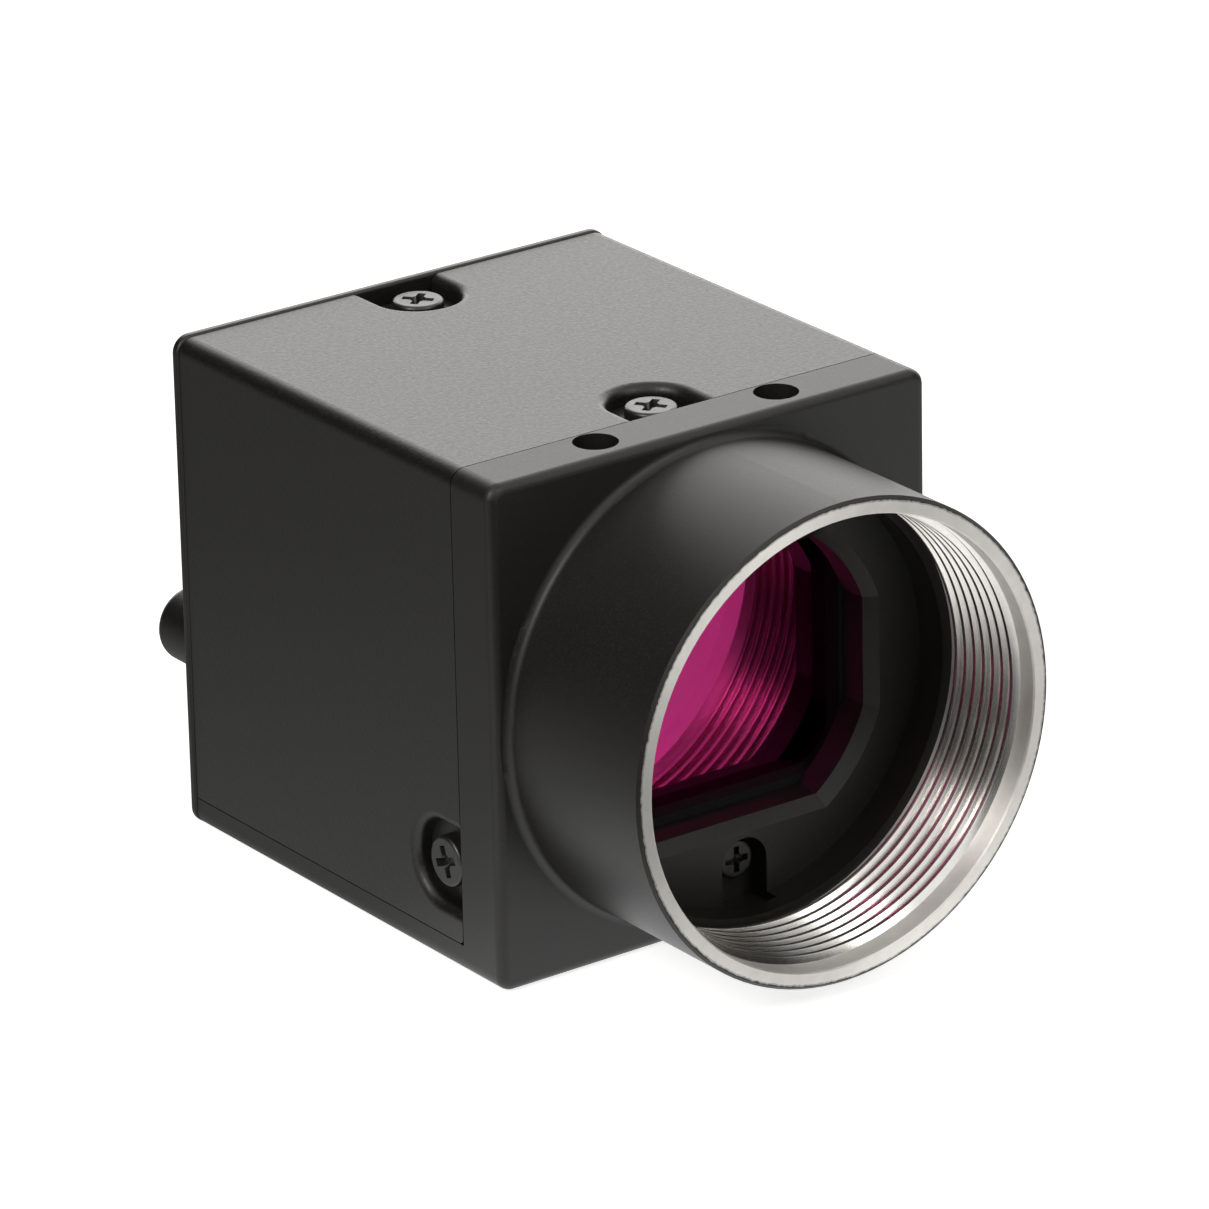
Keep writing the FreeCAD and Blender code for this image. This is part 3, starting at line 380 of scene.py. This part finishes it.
def finish_filter():
    """Part magenta mirror, part clear glass, with a faint haze."""
    material, tree, place = new_material("interference_coated_glass")
    haze = add_node(tree, "TexNoise", {"Vector": place, "Scale": 1 / (COAT_HAZE * MM),
                                       "Detail": 3.0})[0]
    tone = add_node(tree, "Mix", {0: haze, 6: linear("ce1c84"), 7: linear("c21673")},
                    data_type="RGBA")[2]
    gloss = add_node(tree, "MapRange", {"Value": haze, "To Min": 0.01, "To Max": 0.03})[0]
    coat = add_node(tree, "BsdfPrincipled", {"Base Color": tone, "Metallic": 1.0,
                                             "Roughness": gloss})[0]
    glass = add_node(tree, "BsdfPrincipled", {
        "Base Color": linear("dff0dc"), "Roughness": gloss, "IOR": COATED_GLASS_INDEX,
        "Transmission Weight": 1.0})[0]
    close_material(tree, add_node(tree, "MixShader", {0: COAT_SHARE, 1: glass, 2: coat})[0])
    finish_nodes(material, "filter_glass")


finish_filter()
foam_rubber = moulded("foam_rubber", dark="0d0d0d", pale="141414", grain=0.25, rough=0.85)
finish_nodes(foam_rubber, "filter_gasket")


# ---------------------------------------------------------------- image sensor
# A ceramic package with a clear window glued over the silicon die, whose face lies on the
# image plane, 17.526 mm behind the rim.

WINDOW_HAZE = 5.0
DIE_FIELD_PITCH = 0.1
DIE_FIELD_LINE = 0.02


def finish_window():
    """Clear glass with a faint haze."""
    material, tree, place = new_material("window_glass")
    haze = add_node(tree, "TexNoise", {"Vector": place, "Scale": 1 / (WINDOW_HAZE * MM)})[0]
    gloss = add_node(tree, "MapRange", {"Value": haze, "To Max": 0.02})[0]
    close_material(tree, add_node(tree, "BsdfPrincipled", {
        "Base Color": linear("eef2f2"), "Roughness": gloss, "IOR": 1.5,
        "Transmission Weight": 1.0})[0])
    finish_nodes(material, "sensor_window")


def finish_die():
    """Silicon under colour filters: dark violet, with a fine grid, far coarser here than
    the real one, that shows as a sheen."""
    material, tree, place = new_material("silicon_die")
    across, _, up = add_node(tree, "SeparateXYZ", {0: place})
    lines = [add_node(tree, "Math", {0: axis, 1: DIE_FIELD_PITCH / 2 * MM},
                      operation="PINGPONG")[0] for axis in (across, up)]
    grid = add_node(tree, "Math", {0: lines[0], 1: lines[1]}, operation="MINIMUM")[0]
    cell = add_node(tree, "MapRange", {"Value": grid, "From Max": DIE_FIELD_LINE * MM})[0]
    tone = add_node(tree, "Mix", {0: cell, 6: linear("2c2838"), 7: linear("57506e")},
                    data_type="RGBA")[2]
    gloss = add_node(tree, "MapRange", {"Value": cell, "To Min": 0.3, "To Max": 0.16})[0]
    close_material(tree, add_node(tree, "BsdfPrincipled", {
        "Base Color": tone, "Metallic": 0.8, "Roughness": gloss})[0])
    finish_nodes(material, "sensor_die")


package_ceramic = moulded("package_ceramic", dark="232223", pale="2c2a2c", grain=0.12,
                          rough=0.6)
finish_nodes(package_ceramic, "sensor_package")
finish_window()
finish_die()


# ---------------------------------------------------------------- circuit boards
# Three boards of glass laminate under green solder mask are stacked on hexagonal brass
# spacers, joined by pairs of board-to-board connectors, and closed by four steel screws.

WEAVE_PITCH = 0.5
WEAVE_SHARE = 20.0
BOARD_RELIEF = 0.01
TRACK_PITCH = 1.2
TRACK_FROM = 0.42
TRACK_TO = 0.46
MASK_CLOUD = 6.0
SAWN_EDGE = 0.02


def finish_boards():
    """Green solder mask: glossy, with the laminate's weave and the tracks under it. The
    sawn edge is bare yellow laminate."""
    material, tree, place = new_material("solder_mask_on_laminate")
    across, _, up = add_node(tree, "SeparateXYZ", {0: place})
    threads = [add_node(tree, "Math", {0: axis, 1: WEAVE_PITCH / 2 * MM},
                        operation="PINGPONG")[0] for axis in (across, up)]
    weave = add_node(tree, "Math", {0: threads[0], 1: threads[1]})[0]
    slant = add_node(tree, "Math", {0: across, 1: up})[0]
    lane = add_node(tree, "Math", {0: slant, 1: TRACK_PITCH / 2 * MM},
                    operation="PINGPONG")[0]
    track = add_node(tree, "MapRange", {"Value": lane, "From Min": TRACK_FROM * MM,
                                        "From Max": TRACK_TO * MM})[0]
    cloud = add_node(tree, "TexNoise", {"Vector": place, "Scale": 1 / (MASK_CLOUD * MM)})[0]
    tone = add_node(tree, "Mix", {0: cloud, 6: linear("0d4a2b"), 7: linear("0a3d24")},
                    data_type="RGBA")[2]
    tone = add_node(tree, "Mix", {0: track, 6: tone, 7: linear("155637")},
                    data_type="RGBA")[2]
    reach = [add_node(tree, "Math", {0: axis}, operation="ABSOLUTE")[0]
             for axis in (across, up)]
    outer = add_node(tree, "Math", {0: reach[0], 1: reach[1]}, operation="MAXIMUM")[0]
    half_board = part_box("sensor_board")[1].x
    sawn = add_node(tree, "Math", {0: outer, 1: half_board - SAWN_EDGE * MM},
                    operation="GREATER_THAN")[0]
    tone = add_node(tree, "Mix", {0: sawn, 6: tone, 7: linear("8f8a55")},
                    data_type="RGBA")[2]
    height = add_node(tree, "Math", {0: weave, 1: WEAVE_SHARE, 2: track},
                      operation="MULTIPLY_ADD")[0]
    slope = add_node(tree, "Bump", {"Height": height, "Distance": BOARD_RELIEF * MM})[0]
    gloss = add_node(tree, "MapRange", {"Value": cloud, "To Min": 0.28, "To Max": 0.36})[0]
    close_material(tree, add_node(tree, "BsdfPrincipled", {
        "Base Color": tone, "Roughness": gloss, "Normal": slope})[0])
    finish_nodes(material, "sensor_board", "processor_board", "interface_board")


finish_boards()
connector_plastic = moulded("connector_plastic", dark="1d1d20", pale="26262a", grain=0.12,
                            rough=0.5)
nickel_plated_steel = plated("nickel_plated_steel", pale="bdbbb6", dark="a09e9a", rough=0.25,
                             metallic=1.0, index=1.5)
turned_brass = plated("turned_brass", pale="c9a45c", dark="b8924c", rough=0.28, metallic=1.0,
                      index=1.5)
chip_epoxy = moulded("chip_epoxy", dark="1a1a1c", pale="222224", grain=0.08, rough=0.55)
finish_nodes(turned_brass, "front_standoffs", "rear_standoffs")
finish_nodes(nickel_plated_steel, "stack_screws")
finish_nodes(connector_plastic, "front_link_plug", "front_link_socket", "rear_link_plug",
             "rear_link_socket")
finish_nodes(chip_epoxy, "processor_chip", "memory_chip", "usb_controller_chip")


# ---------------------------------------------------------------- sockets and status light
# On the back board stand the data socket, with its folded steel shell, a round six-pin
# socket turned from brass and coated black, and a status light that shines down a clear
# rod to the rear plate.

gold_plate = plated("gold_plate", pale="dcb568", dark="caa055", rough=0.22, metallic=1.0,
                    index=1.5)
frosted_acrylic = moulded("frosted_acrylic", dark="cfd4cf", pale="dfe3df", grain=0.3,
                          rough=0.35)
finish_nodes(nickel_plated_steel, "usb_shell")
finish_nodes(connector_plastic, "usb_insulator", "gpio_insert")
finish_nodes(gold_plate, "usb_contacts", "gpio_pins")
finish_nodes(frosted_acrylic, "status_led", "light_pipe")


def finish_round_socket():
    """The black coat over the brass: a little finer and shinier than the housing's."""
    material, tree, place = new_material("black_coated_brass")
    close_material(tree, anodised(tree, place, crater=0.10, relief=0.003, rough=0.42,
                                  patchy=0.04))
    finish_nodes(material, "gpio_shell", "gpio_nut")


finish_round_socket()


# ---------------------------------------------------------------- rear plate and cover
# The rear plate and the folded cover are aluminium, blasted and anodised black like the
# housing. The cover's grain is a little coarser. Six screws of black oxide steel, with
# cross recesses, hold them.

def finish_plate_and_cover():
    for name, crater, relief, patchy in (("cover", 0.22, 0.008, 0.05),
                                         ("rear_plate", 0.13, 0.005, 0.04)):
        material, tree, place = new_material(name + "_anodised_aluminium")
        close_material(tree, anodised(tree, place, crater, relief, rough=0.42, patchy=patchy))
        finish_nodes(material, name)


finish_plate_and_cover()
black_oxide_steel = plated("black_oxide_steel", pale="2a2928", dark="1d1c1c", rough=0.36,
                           metallic=0.0, index=1.6)
finish_nodes(black_oxide_steel, "cover_screw_top_front", "cover_screw_top_rear",
             "cover_screw_left", "cover_screw_right", "plate_screw_left",
             "plate_screw_right")


# ---------------------------------------------------------------- studio
# A catalogue set: white surroundings, a white table, one large soft box low behind the
# object, small ones high on the left and ahead, and three black cards that give the black
# faces and the bore their darks. The camera looks down from the front left, with a long lens.

CAMERA_AZIMUTH = 35.69
CAMERA_ELEVATION = 21.82
CAMERA_ROLL = 1.25
CAMERA_DISTANCE = 449.2
CAMERA_AIM = (0.0, 21.56, 1.25)
CAMERA_LENS = 244.93
WHITE = 1.0
WARM_WHITE = "fffdf9"
AMBIENT = 0.27
BOX_DISTANCE = 0.7
CARD_DISTANCE = 0.30
TABLE_SIDE = 6
TABLE_GAP = 0.02
TABLE_WHITE = 0.8
# Painted light and shade on the table, seen only by gloss and glass: its glow beside, behind
# and ahead of the body, and its fade with distance.
GLEAM_BESIDE, BESIDE_TO = 1.4, 12
GLEAM_BEHIND, BEHIND_FROM = 0.7, 28
GLEAM_AHEAD_LEFT, LEFT_TO = 0.08, -3
GLEAM_AHEAD_RIGHT, RIGHT_FROM = 1.0, 5
AHEAD_FROM, AHEAD_FULL = -4, -14
FADE_NEAR, FADE_FAR, FADE_REACH = 1.15, 0.4, 90


def direction(azimuth, elevation):
    """The unit vector towards a place in the studio. Azimuth 0 is along +Y, 90 along +X."""
    a, e = math.radians(azimuth), math.radians(elevation)
    return Vector((math.sin(a) * math.cos(e), math.cos(a) * math.cos(e), math.sin(e)))


def add_camera():
    forward = direction(CAMERA_AZIMUTH, -CAMERA_ELEVATION)
    turn = Quaternion(forward, math.radians(CAMERA_ROLL)) @ forward.to_track_quat("-Z", "Y")
    bpy.ops.object.camera_add(location=(Vector(CAMERA_AIM) - forward * CAMERA_DISTANCE) * MM,
                              rotation=turn.to_euler())
    camera = bpy.context.object
    camera.data.lens = CAMERA_LENS
    camera.data.sensor_width = 36.0
    camera.data.clip_start = 0.01
    bpy.context.scene.camera = camera


def facing(azimuth, elevation, distance):
    """Where a thing at a distance stands, and how it turns to face the object."""
    aim = direction(azimuth, elevation)
    middle = Vector((0, (cad_box[0].y + cad_box[1].y) / 2, 0))
    return middle + aim * distance, aim.to_track_quat("Z", "Y").to_euler()


def add_soft_box(name, azimuth, elevation, width, height, radiance):
    """An area lamp that the camera doesn't see, as bright per area as radiance says."""
    place, turn = facing(azimuth, elevation, BOX_DISTANCE)
    bpy.ops.object.light_add(type="AREA", location=place, rotation=turn)
    box = bpy.context.object
    box.name = name
    box.data.shape = "RECTANGLE"
    box.data.size, box.data.size_y = width, height
    box.data.energy = radiance * math.pi * width * height
    box.data.color = linear(WARM_WHITE)[:3]
    box.visible_camera = False


def add_black_card(name, azimuth, elevation, width, height):
    """A card that the camera doesn't see, but gloss mirrors it and it holds back light."""
    place, turn = facing(azimuth, elevation, CARD_DISTANCE)
    bpy.ops.mesh.primitive_plane_add(size=1, location=place, rotation=turn)
    card = bpy.context.object
    card.name = name
    card.scale = (width, height, 1)
    bpy.ops.object.transform_apply(location=True, rotation=True, scale=True)
    card.visible_camera = False
    material, tree, _ = new_material("black_card")
    close_material(tree, add_node(tree, "BsdfDiffuse", {"Color": linear("0a0a0a")})[0])
    card.data.materials.append(material)


def add_table():
    """The camera sees it white, with the object's shadow, and looks through it from below.
    Gloss and glass see it glow with painted light and shade. It is brighter than white beside
    the body and bright ahead on the right. Behind the body it is dimmer, a painted shade.
    Ahead on the left it is dark, a painted shade that stands in for a black card lying there.
    This glow fades with distance. To other light it is pale paint."""
    top = cad_box[0].z - TABLE_GAP * MM
    bpy.ops.mesh.primitive_plane_add(size=TABLE_SIDE, location=(0, 0, top))
    table = bpy.context.object
    table.name = "studio_table"
    bpy.ops.object.transform_apply(location=True)
    material, tree, place = new_material("table_white")
    across, along, _ = add_node(tree, "SeparateXYZ", {0: place})
    glow = add_node(tree, "MapRange", {
        "Value": along, "From Min": BESIDE_TO * MM, "From Max": BEHIND_FROM * MM,
        "To Min": GLEAM_BESIDE, "To Max": GLEAM_BEHIND}, interpolation_type="SMOOTHSTEP")[0]
    reach = add_node(tree, "VectorMath", {0: place}, operation="LENGTH")["Value"]
    fade = add_node(tree, "MapRange", {"Value": reach, "From Max": FADE_REACH * MM,
                                       "To Min": FADE_NEAR, "To Max": FADE_FAR})[0]
    glow = add_node(tree, "Math", {0: glow, 1: fade}, operation="MULTIPLY")[0]
    glow_ahead = add_node(tree, "MapRange", {
        "Value": across, "From Min": LEFT_TO * MM, "From Max": RIGHT_FROM * MM,
        "To Min": GLEAM_AHEAD_LEFT, "To Max": GLEAM_AHEAD_RIGHT},
        interpolation_type="SMOOTHSTEP")[0]
    ahead = add_node(tree, "MapRange", {
        "Value": along, "From Min": AHEAD_FROM * MM, "From Max": AHEAD_FULL * MM},
        interpolation_type="SMOOTHSTEP")[0]
    glow = add_node(tree, "Mix", {0: ahead, 2: glow, 3: glow_ahead})[0]
    path = add_node(tree, "LightPath", {})
    mirrored = add_node(tree, "Math", {0: path["Is Glossy Ray"],
                                       1: path["Is Transmission Ray"]},
                        operation="MAXIMUM")[0]
    paint = add_node(tree, "BsdfDiffuse", {"Color": linear("e6e5e2")})[0]
    gleam = add_node(tree, "Emission", {"Strength": glow})[0]
    white = add_node(tree, "Emission", {"Strength": TABLE_WHITE})[0]
    white = add_node(tree, "AddShader", {0: white, 1: paint})[0]
    mixed = add_node(tree, "MixShader", {0: mirrored, 1: paint, 2: gleam})[0]
    mixed = add_node(tree, "MixShader", {0: path["Is Camera Ray"], 1: mixed, 2: white})[0]
    under = add_node(tree, "NewGeometry", {})["Backfacing"]
    clear = add_node(tree, "BsdfTransparent", {})[0]
    mixed = add_node(tree, "MixShader", {0: under, 1: mixed, 2: clear})[0]
    close_material(tree, mixed)
    table.data.materials.append(material)


def add_surroundings():
    """White to the camera, to gloss and to glass, and a dim fill to all other light."""
    world = bpy.data.worlds.new("surroundings")
    world.use_nodes = True
    bpy.context.scene.world = world
    tree = world.node_tree
    tree.nodes.clear()
    path = add_node(tree, "LightPath", {})
    seen = add_node(tree, "Math", {0: path["Is Camera Ray"], 1: path["Is Glossy Ray"]},
                    operation="MAXIMUM")[0]
    seen = add_node(tree, "Math", {0: seen, 1: path["Is Transmission Ray"]},
                    operation="MAXIMUM")[0]
    strength = add_node(tree, "MapRange", {"Value": seen, "To Min": AMBIENT,
                                           "To Max": WHITE})[0]
    light = add_node(tree, "Background", {"Color": (1, 1, 1, 1), "Strength": strength})[0]
    add_node(tree, "OutputWorld", {"Surface": light})


add_camera()
add_soft_box("rear_soft_box", azimuth=42, elevation=18, width=1.2, height=0.5, radiance=2.3)
add_soft_box("left_soft_box", azimuth=-105, elevation=38, width=0.22, height=0.22, radiance=11)
add_soft_box("front_soft_box", azimuth=160, elevation=40, width=0.2, height=0.2, radiance=4.5)
add_black_card("left_black_card", azimuth=-38, elevation=22, width=0.46, height=0.42)
add_black_card("front_black_card", azimuth=-148, elevation=-2, width=0.30, height=0.20)
add_black_card("right_black_card", azimuth=118, elevation=8, width=0.40, height=0.30)
add_table()
add_surroundings()

scene = bpy.context.scene
scene.view_settings.view_transform = "Standard"
